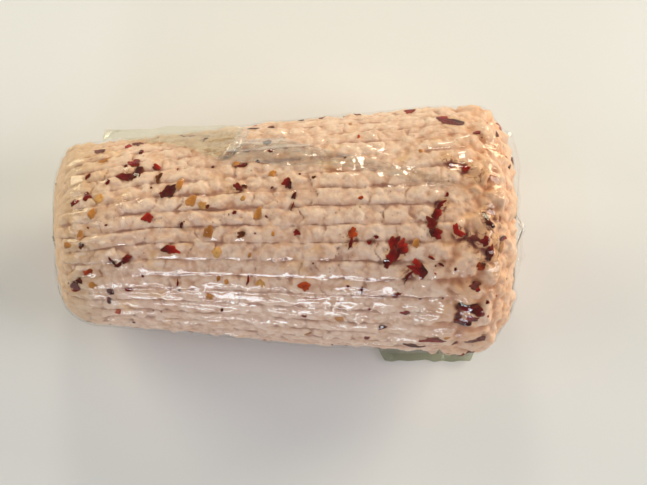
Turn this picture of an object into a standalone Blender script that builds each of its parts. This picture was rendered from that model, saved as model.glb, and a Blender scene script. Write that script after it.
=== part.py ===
"""A pressed ricotta with dried chilli, moulded in a ribbed basket, sealed in clear film and lying on its side.

Metres, +Z up. The small end is at -X and the basket's mouth at +X. The one solid is the film's outer form: the
ribbed loaf, the chilli skins and seeds that show in its face, and the loose film that stands off it.
"""

import math

import bmesh
import bpy
import numpy as np

MM = 0.001
TURN = 2 * math.pi

# The loaf: the basket's own taper, and the loaf's side as (distance from the middle, radius) in millimetres
LENGTH = 168 * MM
SMALL_END_RADIUS = 32.2 * MM
WIDE_END_RADIUS = 47.8 * MM
SIDE = (
    (-84.0, 0),
    (-83.6, 17),
    (-82.0, 24),
    (-79.0, 29.6),
    (-74.0, 32.7),
    (-66.0, 33.9),
    (-32.0, 36.9),
    (4.0, 40.3),
    (40.0, 43.7),
    (58.0, 45.4),
    (67.0, 45.6),
    (73.0, 43.8),
    (77.5, 38.6),
    (80.6, 32),
    (82.6, 24),
    (83.7, 14),
    (84.0, 0),
)
EDGE_ROUNDING = 4 * MM
RESTING_FLAT = 1.6 * MM
SWELL = 0.8 * MM
SWELL_SIZE = 45 * MM

# The basket's ribs, with the groove that each rod leaves between two of them
RIBS = 40
GROOVE_DEPTH = 1.15 * MM
GROOVE_SHARE = 0.2
CROWN_RISE = 0.3 * MM
RIB_WANDER = 0.07
RIB_TWIST = 0.11
RIB_TWIST_REACH = 40 * MM
BLOCK_LENGTH = 11 * MM
BLOCK_STEP = 0.45 * MM
RIBS_FADE_AT = 0.62

# The ribs end short of the basket's mouth, where the curds were ladled in
RIBS_END = 56 * MM
RIBS_END_SPREAD = 12 * MM
CURD_SIZE = 12 * MM
CURD_RISE = 2.3 * MM

# The mesh of the loaf
COLUMNS = (0, 0.2, 0.8)
RINGS = 32
RINGS_BY_LENGTH = 0.7
SHARP_ANGLE = math.radians(50)

# Chilli skins and seeds, half sunk in the cheese
FLAKE_RISE = 0.5 * MM
FLAKE_DEPTH = 2.2 * MM
FLAKE_TAPER = 0.84
SKIN_CORNERS = 7
SKIN_UNEVENNESS = 0.25
SEED_CORNERS = 6

# The largest that the photograph shows: (along, around, length, width, turn). The distance along from the
# middle and the two sizes are in millimetres. Around is in degrees from +Y over the top to -Y, and the turn is
# in degrees from the loaf's length towards +Y.
SHOWN_SKINS = (
    (-53, 58, 4.2, 3.4, 20),
    (-51, 65, 5.2, 3.6, 60),
    (-56, 68, 5.0, 3.0, -10),
    (-40, 79, 5.0, 4.2, 50),
    (-16, 79, 3.6, 2.6, -30),
    (1, 78, 4.2, 3.0, 60),
    (-74, 83, 3.8, 1.8, 10),
    (-48, 94, 4.0, 3.0, 45),
    (-40, 111, 5.6, 3.8, -20),
    (-56, 118, 5.2, 2.6, 30),
    (-74, 136, 5.4, 3.0, 60),
    (24, 104, 4.4, 3.4, 60),
    (39, 113, 11.0, 6.4, 62),
    (47, 120, 6.8, 4.6, -50),
    (52, 99, 11.0, 3.6, 78),
    (59, 103, 4.8, 2.8, -50),
    (70, 109, 6.6, 2.8, -40),
    (71, 115, 4.6, 2.6, 80),
    (68, 120, 4.2, 3.0, 40),
    (66, 127, 4.2, 2.4, -20),
    (64, 138, 8.4, 3.4, -12),
    (63, 148, 8.0, 2.8, 14),
    (8, 130, 4.0, 3.4, -20),
    (58, 48, 7.4, 4.0, -22),
    (45, 30, 3.6, 4.4, 0),
    (53, 161, 6.6, 3.2, 8),
    (46, 170, 5.6, 3.2, 0),
    (-11, 32, 5.0, 4.0, 5),
)
SHOWN_SEEDS = (
    (-65, 81, 4.0, 3.4, 70),
    (-68, 90, 4.2, 3.0, 60),
    (-36, 75, 4.4, 3.4, 80),
    (-32, 84, 4.6, 4.2, 60),
    (-28, 89, 3.8, 3.0, 0),
    (-9, 93, 5.0, 3.0, 80),
    (-26, 102, 5.0, 3.4, 80),
    (-23, 113, 4.2, 3.8, 60),
    (-26, 139, 3.8, 2.8, -20),
    (-68, 132, 4.4, 3.0, -40),
    (20, 148, 3.2, 2.8, 0),
)

# The rest, on the back and the underside, drawn at random within these bounds
HIDDEN_FLAKES = 20
HIDDEN_SEED_SHARE = 0.35
HIDDEN_REACH = 0.8
HIDDEN_BACK = (math.radians(-55), math.radians(5))
HIDDEN_FRONT = (math.radians(196), math.radians(236))
HIDDEN_LENGTHS = (3.4 * MM, 6 * MM)
HIDDEN_SLENDERNESS = (0.5, 0.8)
RANDOM_SEED = 41

# Loose film: a web off the back of the small half, the pleat that it turns into, and the tail on the table
FILM_ROOT = 0.9 * MM
WEB_DEPTH = 5.2 * MM
WEB_SPAN = (-66 * MM, -14 * MM)
WEB_ROOT_ANGLES = (math.radians(26), math.radians(62))
WEB_EDGE_ANGLE = math.radians(12)
WEB_STAND_OFF = 3.2 * MM
WEB_WAVE = 0.7 * MM
PLEAT_SPAN = (-20 * MM, 66 * MM)
PLEAT_ANGLES = (math.radians(52), math.radians(84))
PLEAT_WIDTH = 8 * MM
PLEAT_RISE = 1.1 * MM
PLEAT_DEPTH = 3.6 * MM
TAIL_SPAN = (34 * MM, 73 * MM)
TAIL_ROOT = 9 * MM
TAIL_REACH = 42.5 * MM
TAIL_HEIGHTS = (3.6 * MM, 1.3 * MM)
TAIL_WAVE = 0.25 * MM
TAIL_THICKNESS = 0.9 * MM


def smooth(share):
    """A smooth step from 0 to 1 as share goes from 0 to 1."""
    share = np.clip(share, 0, 1)
    return share * share * (3 - 2 * share)


def scatter(i, j, k, seed):
    """A fixed number from 0 to 1 for each point of a whole-number grid."""
    mixed = (i * 374761393 + j * 668265263 + k * 40503 * 65599 + seed * 974634777) & 0xFFFFFFFF
    mixed = ((mixed ^ (mixed >> 13)) * 1274126177) & 0xFFFFFFFF
    mixed = ((mixed ^ (mixed >> 15)) * 1103515245) & 0xFFFFFFFF
    return ((mixed >> 8) & 0xFFFF) / 65535.0


def waves(x, y, z, seed):
    """Smooth noise from -1 to 1, with one swell to each unit."""
    cells = [np.floor(c).astype(np.int64) for c in (x, y, z)]
    parts = [smooth(c - cell) for c, cell in zip((x, y, z), cells)]
    total = 0
    for corner in range(8):
        steps = (corner & 1, corner >> 1 & 1, corner >> 2)
        weight = 1
        for part, step in zip(parts, steps):
            weight = weight * (part if step else 1 - part)
        total = total + weight * scatter(*(c + s for c, s in zip(cells, steps)), seed)
    return 2 * total - 1


def curds(x, y, z, seed):
    """Rounded lumps one unit across: 0 in the crevices between them, 1 on top."""
    cells = [np.floor(c).astype(np.int64) for c in (x, y, z)]
    nearest = np.full(np.shape(x), 9.0)
    second = np.full(np.shape(x), 9.0)
    for step in range(27):
        at = [c + s for c, s in zip(cells, (step % 3 - 1, step // 3 % 3 - 1, step // 9 - 1))]
        away = sum(
            (a + scatter(*at, seed + axis) - c) ** 2
            for axis, (a, c) in enumerate(zip(at, (x, y, z)))
        )
        away = np.sqrt(away)
        second = np.minimum(second, np.maximum(nearest, away))
        nearest = np.minimum(nearest, away)
    return smooth((second - nearest) / 0.45)


def taper(x):
    """Radius of the basket at x."""
    return SMALL_END_RADIUS + (WIDE_END_RADIUS - SMALL_END_RADIUS) * (x / LENGTH + 0.5)


def outline(share):
    """(x, radius) at a share of the way along the loaf's side, from the small end's centre to the wide end's.

    Rings are spaced partly by length and partly by how much the side turns, so the rounded ends get more.
    """
    corners = np.array(SIDE) * MM
    path = np.concatenate([[0], np.cumsum(np.hypot(*np.diff(corners, axis=0).T))])
    fine = np.linspace(0, path[-1], 2001)
    x, radius = np.interp(fine, path, corners[:, 0]), np.interp(fine, path, corners[:, 1])
    reach = round(EDGE_ROUNDING / path[-1] * 2000)
    even = np.ones(2 * reach + 1) / (2 * reach + 1)
    x = np.convolve(np.pad(x, reach, mode="reflect"), even, mode="valid")
    radius = np.convolve(np.pad(radius, reach, mode="reflect", reflect_type="odd"), even, mode="valid")
    steps = np.diff(x), np.diff(radius)
    turned = np.abs(np.diff(np.unwrap(np.arctan2(steps[1], steps[0])), prepend=math.pi / 2))
    length = np.hypot(*steps)
    pace = RINGS_BY_LENGTH * length / length.sum() + (1 - RINGS_BY_LENGTH) * turned / turned.sum()
    pace = np.concatenate([[0], np.cumsum(pace)])
    return np.interp(share, pace, x), np.interp(share, pace, radius)


def radius_at(x):
    """Radius of the loaf at x, which falls away at its rounded ends."""
    along, radius = outline(np.linspace(0, 1, 801))
    return np.interp(x, along, radius)


def rib_angle(x, rib):
    """Angle from +Y over the top at which a rib, counted in whole numbers at the grooves, runs at x."""
    groove = np.floor(rib)
    share = rib - groove
    wander = 0
    for index, weight in ((groove, 1 - share), (groove + 1, share)):
        index = np.mod(index, RIBS)
        wander = wander + weight * (
            0.7 * waves(x / (14 * MM), index * 7.3, 0 * x, 3)
            + 0.3 * waves(x / (5 * MM), index * 5.1, 0 * x, 4)
        )
    twist = RIB_TWIST * smooth((-LENGTH / 2 + RIB_TWIST_REACH - x) / RIB_TWIST_REACH)
    return TURN * (rib + RIB_WANDER * wander) / RIBS + twist


def block_step(x, rib):
    """Each rib is broken crosswise into blocks, and each block stands a little higher or lower."""
    row = np.mod(np.floor(rib), RIBS).astype(np.int64)
    along = x / BLOCK_LENGTH + 10 * scatter(row, 0 * row, 0 * row, 11)
    block = np.floor(along).astype(np.int64)
    crack = block + 0.25 + 0.5 * scatter(row, block, 0 * row, 12)
    block = np.where(along > crack, block + 1, block)
    return BLOCK_STEP * (2 * scatter(row, block, 0 * row, 13) - 1)


def relief(x, radius, rib, around):
    """How far the surface stands out from the smooth loaf. The ribs stop where the end faces begin."""
    y, z = radius * np.cos(around), radius * np.sin(around)
    share = rib - np.floor(rib)
    from_groove = np.minimum(share, 1 - share)
    groove = np.mod(np.round(rib), RIBS)
    depth = GROOVE_DEPTH * (0.95 + 0.3 * waves(x / (16 * MM), groove * 3.7, 0 * x, 5))
    ribbed = CROWN_RISE * np.sin(math.pi * share) - depth * (1 - smooth(from_groove / GROOVE_SHARE))
    ribbed = ribbed + block_step(x, rib) * smooth(from_groove / GROOVE_SHARE)
    lumps = CURD_RISE * (curds(x / CURD_SIZE, y / CURD_SIZE, z / CURD_SIZE, 21) - 0.6)
    ends = RIBS_END + RIBS_END_SPREAD * waves(y / (20 * MM), z / (20 * MM), 0 * y, 22)
    loose = smooth((x - ends) / (14 * MM) + 0.5)
    on_side = smooth((radius / taper(x) - RIBS_FADE_AT) / (0.9 - RIBS_FADE_AT))
    swell = SWELL * waves(x / SWELL_SIZE, y / SWELL_SIZE, z / SWELL_SIZE, 23)
    return swell + ribbed * (1 - loose) * on_side + lumps * loose


def place(x, radius, around):
    """The point at that radius. The taper's lowest line lies level, and is pressed flat on the table."""
    axis_height = taper(x) - RESTING_FLAT
    return x, radius * np.cos(around), np.maximum(axis_height + radius * np.sin(around), 0)


def material(name, colour, roughness):
    made = bpy.data.materials.new(name)
    made.use_nodes = True
    shader = made.node_tree.nodes["Principled BSDF"]
    shader.inputs["Base Color"].default_value = (*colour, 1)
    shader.inputs["Roughness"].default_value = roughness
    shader.inputs["Metallic"].default_value = 0
    made.diffuse_color = (*colour, 1)
    return made


def object_from(bm, name, collection):
    """A mesh object of what bm holds, in that collection, in triangles that face out."""
    bm.normal_update()
    bmesh.ops.recalc_face_normals(bm, faces=bm.faces)
    bmesh.ops.triangulate(bm, faces=bm.faces)
    mesh = bpy.data.meshes.new(name)
    bm.to_mesh(mesh)
    bm.free()
    made = bpy.data.objects.new(name, mesh)
    collection.objects.link(made)
    return made


def move_points(bm, x, y, z):
    for vertex, point in zip(bm.verts, zip(x, y, z)):
        vertex.co = point


def make_loaf(collection):
    """The ribbed loaf: a sphere whose rings and columns are moved out to the basket's form."""
    bm = bmesh.new()
    bmesh.ops.create_uvsphere(bm, u_segments=RIBS * len(COLUMNS), v_segments=RINGS, radius=1)
    points = np.array([vertex.co for vertex in bm.verts])
    share = np.arccos(np.clip(points[:, 2], -1, 1)) / math.pi
    column = np.arctan2(points[:, 1], points[:, 0]) / TURN * RIBS * len(COLUMNS)
    column = np.round(column).astype(np.int64)
    rib = column // len(COLUMNS) + np.array(COLUMNS)[column % len(COLUMNS)]
    x, radius = outline(share)
    around = rib_angle(x, rib)
    side_on = smooth(radius / taper(x))
    out = relief(x, radius, rib, around)
    x, y, z = place(x, radius + out * side_on, around)
    move_points(bm, x + out * (1 - side_on) * np.sign(x), y, z)
    return object_from(bm, "ricotta", collection)


def make_flake(name, kind, at, length, width, turn, collection):
    """A thin plate that follows the loaf's curve and stands a little proud of it. A skin's edge is uneven."""
    x0, around0 = at
    corners = SKIN_CORNERS if kind == "skin" else SEED_CORNERS
    unevenness = SKIN_UNEVENNESS if kind == "skin" else 0
    bm = bmesh.new()
    bmesh.ops.create_cone(
        bm, cap_ends=True, cap_tris=False, segments=corners, radius1=0.5, radius2=0.5 * FLAKE_TAPER, depth=1
    )
    points = np.array([vertex.co for vertex in bm.verts])
    corner = np.round(np.arctan2(points[:, 1], points[:, 0]) / TURN * corners).astype(np.int64)
    own = round(x0 / MM) + round(math.degrees(around0))
    spread = 1 + unevenness * (2 * scatter(corner, 0 * corner, 0 * corner, own) - 1)
    along, up = points[:, 0] * length * spread, points[:, 1] * width * spread
    x = x0 + along * math.cos(turn) - up * math.sin(turn)
    around = around0 - (along * math.sin(turn) + up * math.cos(turn)) / taper(x0)
    crown = np.full(len(x), np.floor(around0 / TURN * RIBS) + 0.5)
    lift = np.where(points[:, 2] > 0, FLAKE_RISE, -FLAKE_DEPTH)
    radius = radius_at(x)
    move_points(bm, *place(x, radius + relief(x, radius, crown, around) + lift, around))
    return object_from(bm, name, collection)


def make_shown_flakes(kind, rows, collection):
    for index, (along, around, length, width, turn) in enumerate(rows):
        at = along * MM, math.radians(around)
        make_flake(f"{kind}_{index}", kind, at, length * MM, width * MM, math.radians(turn), collection)


def make_hidden_flakes(collection):
    """Seeded flakes on the back and underside, clear of the flat that the loaf rests on."""
    draw = np.random.default_rng(RANDOM_SEED)
    for index in range(HIDDEN_FLAKES):
        along = (index + draw.uniform(0.2, 0.8)) / HIDDEN_FLAKES - 0.5
        at = LENGTH * HIDDEN_REACH * along, draw.uniform(*(HIDDEN_BACK if index % 3 else HIDDEN_FRONT))
        length = draw.uniform(*HIDDEN_LENGTHS)
        width = length * draw.uniform(*HIDDEN_SLENDERNESS)
        kind = "seed" if draw.uniform() < HIDDEN_SEED_SHARE else "skin"
        make_flake(f"hidden_{index}", kind, at, length, width, draw.uniform(0, TURN / 2), collection)


def make_film(name, steps, across, shape, depth, collection):
    """Film given by its outer face, as a function of two shares, and made solid by that depth behind it."""
    bm = bmesh.new()
    bmesh.ops.create_grid(bm, x_segments=steps, y_segments=across, size=0.5)
    points = np.array([vertex.co for vertex in bm.verts])
    move_points(bm, *shape(points[:, 0] + 0.5, points[:, 1] + 0.5))
    sheet = object_from(bm, name, collection)
    solidify = sheet.modifiers.new("thickness", "SOLIDIFY")
    solidify.thickness = depth
    solidify.offset = -1
    sheet.modifiers.new("triangles", "TRIANGULATE")


def between(limits, share):
    return limits[0] + (limits[1] - limits[0]) * share


def web_shape(along, out):
    """The web leaves the loaf's back well up the side and hangs off it, wavy at its free edge."""
    x = between(WEB_SPAN, along)
    root = between(WEB_ROOT_ANGLES, along)
    around = root + (WEB_EDGE_ANGLE - root) * out
    fade = smooth((1 - along) * 3)
    lift = -FILM_ROOT + (FILM_ROOT + WEB_STAND_OFF) * fade * smooth(out * 1.1)
    wave = WEB_WAVE * np.sin(along * 15) * out * fade
    return place(x, radius_at(x) + lift + wave, around)


def pleat_shape(along, out):
    """The pleat lies on the loaf and narrows to a point near the wide end."""
    x = between(PLEAT_SPAN, along)
    fullness = np.sin(math.pi * (0.1 + 0.84 * along))
    width = PLEAT_WIDTH * (0.3 + 0.7 * fullness)
    around = between(PLEAT_ANGLES, along) + width * (out - 0.5) / taper(x)
    middle = 1 - (2 * out - 1) ** 2
    rise = -FILM_ROOT + (FILM_ROOT + PLEAT_RISE) * smooth(middle * 1.6) * smooth(fullness * 2)
    return place(x, radius_at(x) + rise, around)


def tail_shape(along, out):
    """The tail of film lies on the table in front, under the wide end."""
    x = between(TAIL_SPAN, along)
    round_end = np.sqrt(np.clip(1 - (2 * along - 1) ** 6, 0, 1))
    y = -TAIL_ROOT - (TAIL_REACH - TAIL_ROOT) * out * (0.75 + 0.25 * round_end)
    return x, y, between(TAIL_HEIGHTS, out) + TAIL_WAVE * np.sin(along * 11) * out


def fuse(base, collection):
    """One body of the base and all that the collection holds."""
    union = base.modifiers.new("fuse", "BOOLEAN")
    union.operation = "UNION"
    union.operand_type = "COLLECTION"
    union.collection = collection
    bpy.context.view_layer.objects.active = base
    bpy.ops.object.modifier_apply(modifier=union.name)
    for piece in list(collection.objects):
        bpy.data.objects.remove(piece)
    bpy.data.collections.remove(collection)


def finish(body):
    """Puts the origin under the middle of the body's box, and shades its round faces smooth."""
    points = np.array([vertex.co for vertex in body.data.vertices])
    middle = (points.max(axis=0) + points.min(axis=0)) / 2
    for vertex in body.data.vertices:
        vertex.co.x -= middle[0]
        vertex.co.y -= middle[1]
    body.data.shade_smooth()
    body.data.set_sharp_from_angle(angle=SHARP_ANGLE)


def main():
    for old in list(bpy.data.objects):
        bpy.data.objects.remove(old)
    parts = bpy.data.collections.new("ricotta")
    pieces = bpy.data.collections.new("pieces to fuse")
    for collection in (parts, pieces):
        bpy.context.scene.collection.children.link(collection)
    loaf = make_loaf(parts)
    loaf.data.materials.append(material("film_wrapped_cheese", (0.72, 0.52, 0.38), 0.3))
    make_shown_flakes("skin", SHOWN_SKINS, pieces)
    make_shown_flakes("seed", SHOWN_SEEDS, pieces)
    make_hidden_flakes(pieces)
    make_film("web", 12, 3, web_shape, WEB_DEPTH, pieces)
    make_film("pleat", 16, 4, pleat_shape, PLEAT_DEPTH, pieces)
    make_film("tail", 8, 3, tail_shape, TAIL_THICKNESS, pieces)
    fuse(loaf, pieces)
    finish(loaf)


main()
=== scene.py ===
"""The looks of a pressed ricotta with dried chilli, sealed in clear film and lying on its side.

The CAD solid is the film's outer form. Here it gives way to the cheese, the chilli skins, the chilli seeds, the
film that is tight over them, and the loose film.
"""

import math

import bmesh
import bpy
import numpy as np
from mathutils import Matrix, Vector


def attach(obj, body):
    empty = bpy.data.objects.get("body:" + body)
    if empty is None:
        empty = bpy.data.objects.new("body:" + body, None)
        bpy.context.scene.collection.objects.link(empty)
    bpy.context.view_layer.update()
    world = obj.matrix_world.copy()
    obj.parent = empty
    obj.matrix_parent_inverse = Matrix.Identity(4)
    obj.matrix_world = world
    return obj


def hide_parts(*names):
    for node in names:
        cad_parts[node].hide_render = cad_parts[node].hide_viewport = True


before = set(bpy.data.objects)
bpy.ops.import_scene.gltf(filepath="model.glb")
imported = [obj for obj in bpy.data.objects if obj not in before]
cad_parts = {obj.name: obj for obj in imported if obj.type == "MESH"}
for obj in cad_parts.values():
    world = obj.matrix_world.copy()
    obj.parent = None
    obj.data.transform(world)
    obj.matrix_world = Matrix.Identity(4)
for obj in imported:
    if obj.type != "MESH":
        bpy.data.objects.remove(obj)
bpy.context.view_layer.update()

MM = 0.001
TURN = 2 * math.pi
BODY = "root"
NODE = "ricotta"

# The loaf, as the CAD makes it: the side is (distance from the middle, radius) in millimetres
LENGTH = 168 * MM
SMALL_END_RADIUS = 32.2 * MM
WIDE_END_RADIUS = 47.8 * MM
SIDE = (
    (-84, 0), (-83.6, 17), (-82, 24), (-79, 29.6), (-74, 32.7), (-66, 33.9), (-32, 36.9), (4, 40.3), (40, 43.7),
    (58, 45.4), (67, 45.6), (73, 43.8), (77.5, 38.6), (80.6, 32), (82.6, 24), (83.7, 14), (84, 0),
)
EDGE_ROUNDING = 4 * MM
RESTING_FLAT = 1.6 * MM
SWELL = 0.8 * MM
SWELL_SIZE = 45 * MM

# The basket's ribs and the grooves between them, also as in the CAD
RIBS = 40
RIB_WANDER = 0.07
RIB_TWIST = 0.11
RIB_TWIST_REACH = 40 * MM
RIBS_FADE_AT = 0.62
RIBS_END = 56 * MM
RIBS_END_SPREAD = 12 * MM
BLOCK_LENGTH = 11 * MM
CURD_SIZE = 12 * MM
CURD_RISE = 2.3 * MM

# Places that stand out, the first of the loaf and the others of its film:
# (distance from the middle, degrees around, reach, rise), lengths in millimetres
LOAF_CORNERS = ((-79, 14, 12, 3.2),)
FILM_CORNERS = ((81, 38, 7, 2.2), (81.5, 125, 6, 2.6))

# What only shows close to: the cheese's slits, cracks, chips and grain
SLIT_DEPTH = 0.5 * MM
SLIT_REACH = 0.45 * MM
SHOULDER_DROP = 0.33 * MM
SHOULDER_REACH = 1.7 * MM
CROWN = 0.14 * MM
CRACK_DEPTH = 0.6 * MM
CRACK_REACH = 0.5 * MM
BLOCK_STEP = 0.35 * MM
BLOCK_TILT = 0.5 * MM
PEBBLES = ((7.0 * MM, 0.6 * MM, 33), (3.4 * MM, 0.38 * MM, 37))
GRAIN = ((5.0 * MM, 0.24 * MM), (2.4 * MM, 0.24 * MM), (1.2 * MM, 0.16 * MM))

# The meshes
CHEESE_STEP = 0.48 * MM
END_STEP = 0.9 * MM
CHEESE_COLUMNS = 560
FILM_GAP = 0.14 * MM
FILM_BRIDGE = (5, 4)
WRINKLE_ALONG = 24 * MM
WRINKLE_ACROSS = 1.5 * MM
WRINKLE_RISE = 0.3 * MM
FILM_CROWN = 0.4 * MM
FILM_CROWN_REACH = 1.6 * MM
CREASE_SIZE = (6.5 * MM, 3.6 * MM)
CREASE_RISE = 0.32 * MM
PLEATS_AROUND = 34
END_PLEAT_RISE = 0.8 * MM
SHEET_GAP = 0.15 * MM

# The lowest that each layer lies over the table, and where the film is loose under the loaf, in degrees around
CHEESE_FLOOR = 0.3 * MM
FLAKE_FLOOR = 0.25 * MM
FILM_FLOOR = 0.02 * MM
LOOSE_FROM = 122
LOOSE_TO = 228

# The loose film's lines: (distance from the middle, degrees around, height over the tight film)
WEB_ROOT = (
    (-67.5, 13, 0.1), (-62, 22, 0.1), (-49, 35, 0.1), (-37, 46, 0.1), (-30, 52, 0.1), (-25, 58, 0.1),
    (-22, 60, 0.3),
)
WEB_EDGE = (
    (-65.6, 12, 4.4), (-58, 12, 3.4), (-47, 13, 2.0), (-41, 14, 2.4), (-29, 16, 1.2), (-14, 35, 0.6),
)
TUBE = (
    ((-24, 61, 0.1), (-20.5, 56, 0.1), (-18, 48, 0.1), (-16, 36, 0.1)),
    ((-20.5, 62, 0.1), (-16, 57, 0.1), (-13.5, 49, 0.1), (-12, 37, 0.1)),
)
PLEAT_UPPER = (
    (-20, 58, 0.1), (-12, 46, 0.2), (-7, 46, 0.2), (-1, 48, 0.2), (3, 51, 0.2), (15, 60, 0.2), (29, 66, 0.2),
    (44, 73, 0.2), (56, 79, 0.2), (70, 86, 0.1),
)
PLEAT_LOWER = (
    (-22, 61, 0.1), (-12, 63, 0.2), (-1, 68, 0.2), (8, 68, 0.2), (19, 69.5, 0.2), (33, 74, 0.2), (43, 80, 0.2),
    (60, 84, 0.2), (73, 88, 0.1),
)

# The films: (what they let through, how milky their mirror is, its IOR, the most that it mirrors)
TIGHT_FILM = ((0.985, 0.985, 0.985), 0.05, 1.55, 0.075)
WEB_FILM = ((0.96, 0.945, 0.88), 0.1, 1.3, 0.3)
PLEAT_FILM = ((0.99, 0.985, 0.97), 0.25, 1.42, 0.35)
# The tail's darker tint is partly its gathered layers and partly painted shade from the loaf over it
TAIL_FILM = ((0.77, 0.78, 0.7), 0.05, 1.3, 0.3)

# The film's gathered end on the table: from where to where along x in millimetres, and how far it reaches
TAIL_SPAN = (34, 74)
TAIL_REACH = 42.5 * MM
TAIL_ROOT_HEIGHT = 8.5 * MM
TAIL_CORNERS = 6.5 * MM

# The photograph, 647 by 485 pixels, and the camera that took it
FRAME_WIDTH = 647
FRAME_HEIGHT = 485
CAMERA_AZIMUTH = math.radians(-2)
CAMERA_ELEVATION = math.radians(78)
CAMERA_ROLL = math.radians(-2.2)
CAMERA_DISTANCE = 620 * MM
CAMERA_LENS = 94.8
SENSOR_WIDTH = 36
CAMERA_AIM = Vector((14.3 * MM, -5.2 * MM, 44 * MM))

# The stage: each light is (name, place, size, watts, colour), in metres
WARM = (1.0, 0.97, 0.93)
GOLDEN = (1.0, 0.92, 0.64)
DAYLIGHT = (0.88, 0.94, 1.0)
LIGHTS = (
    ("left", (-1.1, -0.15, 0.9), (0.8, 0.8), 3.7, WARM),
    ("back_left", (-1.2, 0.9, 0.6), (0.9, 0.9), 12.3, GOLDEN),
    ("right", (1.1, -0.15, 0.9), (0.8, 0.8), 8.8, WARM),
    ("back_right", (1.2, 0.9, 0.6), (0.9, 0.9), 17.9, GOLDEN),
    ("window", (-0.38, -1.05, 0.38), (0.36, 0.18), 2.1, DAYLIGHT),
    ("low_window", (-0.33, -1.1, 0.12), (0.74, 0.06), 1.8, DAYLIGHT),
    ("glint", (-0.08, 1.2, 0.85), (0.26, 0.26), 2.8, (1.0, 0.95, 0.8)),
)
WORLD_COLOUR = (0.95, 0.97, 1.0, 1)
WORLD_STRENGTH = 0.13
FLOOR_COLOUR = (0.78, 0.785, 0.8, 1)


def smooth(share):
    """A smooth step from 0 to 1 as share goes from 0 to 1."""
    share = np.clip(share, 0, 1)
    return share * share * (3 - 2 * share)


def between(value, low, high, fade):
    """1 from low to high, with a smooth fade to 0 inside each of them."""
    return smooth((value - low) / fade) * smooth((high - value) / fade)


def scatter(i, j, k, seed):
    """A fixed number from 0 to 1 for each point of a whole-number grid."""
    mixed = (i * 374761393 + j * 668265263 + k * 40503 * 65599 + seed * 974634777) & 0xFFFFFFFF
    mixed = ((mixed ^ (mixed >> 13)) * 1274126177) & 0xFFFFFFFF
    mixed = ((mixed ^ (mixed >> 15)) * 1103515245) & 0xFFFFFFFF
    return ((mixed >> 8) & 0xFFFF) / 65535.0


def waves(x, y, z, seed):
    """Smooth noise from -1 to 1, with one swell to each unit."""
    x, y, z = np.broadcast_arrays(x, y, z)
    cells = [np.floor(c).astype(np.int64) for c in (x, y, z)]
    parts = [smooth(c - cell) for c, cell in zip((x, y, z), cells)]
    total = 0
    for corner in range(8):
        steps = (corner & 1, corner >> 1 & 1, corner >> 2)
        weight = 1
        for part, step in zip(parts, steps):
            weight = weight * (part if step else 1 - part)
        total = total + weight * scatter(*(c + s for c, s in zip(cells, steps)), seed)
    return 2 * total - 1


def curds(x, y, z, seed, edge=0.45):
    """Rounded lumps one unit across: 0 in the crevices between them, 1 on top. Edge is how far they round off."""
    cells = [np.floor(c).astype(np.int64) for c in (x, y, z)]
    nearest = np.full(np.shape(x), 9.0)
    second = np.full(np.shape(x), 9.0)
    for step in range(27):
        at = [c + s for c, s in zip(cells, (step % 3 - 1, step // 3 % 3 - 1, step // 9 - 1))]
        away = sum(
            (a + scatter(*at, seed + axis) - c) ** 2
            for axis, (a, c) in enumerate(zip(at, (x, y, z)))
        )
        away = np.sqrt(away)
        second = np.minimum(second, np.maximum(nearest, away))
        nearest = np.minimum(nearest, away)
    return smooth((second - nearest) / edge)


def taper(x):
    """Radius of the basket at x."""
    return SMALL_END_RADIUS + (WIDE_END_RADIUS - SMALL_END_RADIUS) * (x / LENGTH + 0.5)


def side_path():
    """(length along it, x, radius) of the loaf's side, from the small end's centre to the wide end's."""
    corners = np.array(SIDE) * MM
    path = np.concatenate([[0], np.cumsum(np.hypot(*np.diff(corners, axis=0).T))])
    fine = np.linspace(0, path[-1], 2001)
    x, radius = np.interp(fine, path, corners[:, 0]), np.interp(fine, path, corners[:, 1])
    reach = round(EDGE_ROUNDING / path[-1] * 2000)
    even = np.ones(2 * reach + 1) / (2 * reach + 1)
    x = np.convolve(np.pad(x, reach, mode="reflect"), even, mode="valid")
    radius = np.convolve(np.pad(radius, reach, mode="reflect", reflect_type="odd"), even, mode="valid")
    length = np.concatenate([[0], np.cumsum(np.hypot(np.diff(x), np.diff(radius)))])
    return length, x, radius


class Side:
    """Rings down the loaf's side: close on the flank, wider apart on the ends."""

    def __init__(self):
        length, x, radius = side_path()
        step = np.where(radius > RIBS_FADE_AT * taper(x), CHEESE_STEP, END_STEP)
        count = np.concatenate([[0], np.cumsum(np.diff(length) / step[1:])])
        rings = np.linspace(0, count[-1], round(count[-1]))
        self.length = np.interp(rings, count, length)[1:-1]
        self.x = np.interp(self.length, length, x)
        self.radius = np.interp(self.length, length, radius)
        slope_x = np.gradient(x, length)
        slope_r = np.gradient(radius, length)
        self.out_x = -np.interp(self.length, length, slope_r)
        self.out_r = np.interp(self.length, length, slope_x)


SIDE_RINGS = Side()
AROUND = np.arange(CHEESE_COLUMNS) * TURN / CHEESE_COLUMNS


def rib_count(x, around):
    """Ribs counted from +Y over the top, in whole numbers at the grooves."""
    twist = RIB_TWIST * smooth((-LENGTH / 2 + RIB_TWIST_REACH - x) / RIB_TWIST_REACH)
    rib = (around - twist) * RIBS / TURN
    wander = 0
    for step in (0, 1):
        groove = np.floor(rib) + step
        weight = 1 - np.abs(rib - groove)
        index = np.mod(groove, RIBS)
        wander = wander + weight * (
            0.7 * waves(x / (14 * MM), index * 7.3, 0 * index, 3)
            + 0.3 * waves(x / (5 * MM), index * 5.1, 0 * index, 4)
        )
    fine = waves(x / (3.5 * MM), around * 16, 0 * around, 6)
    return rib - RIB_WANDER * wander - 0.05 * fine


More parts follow.
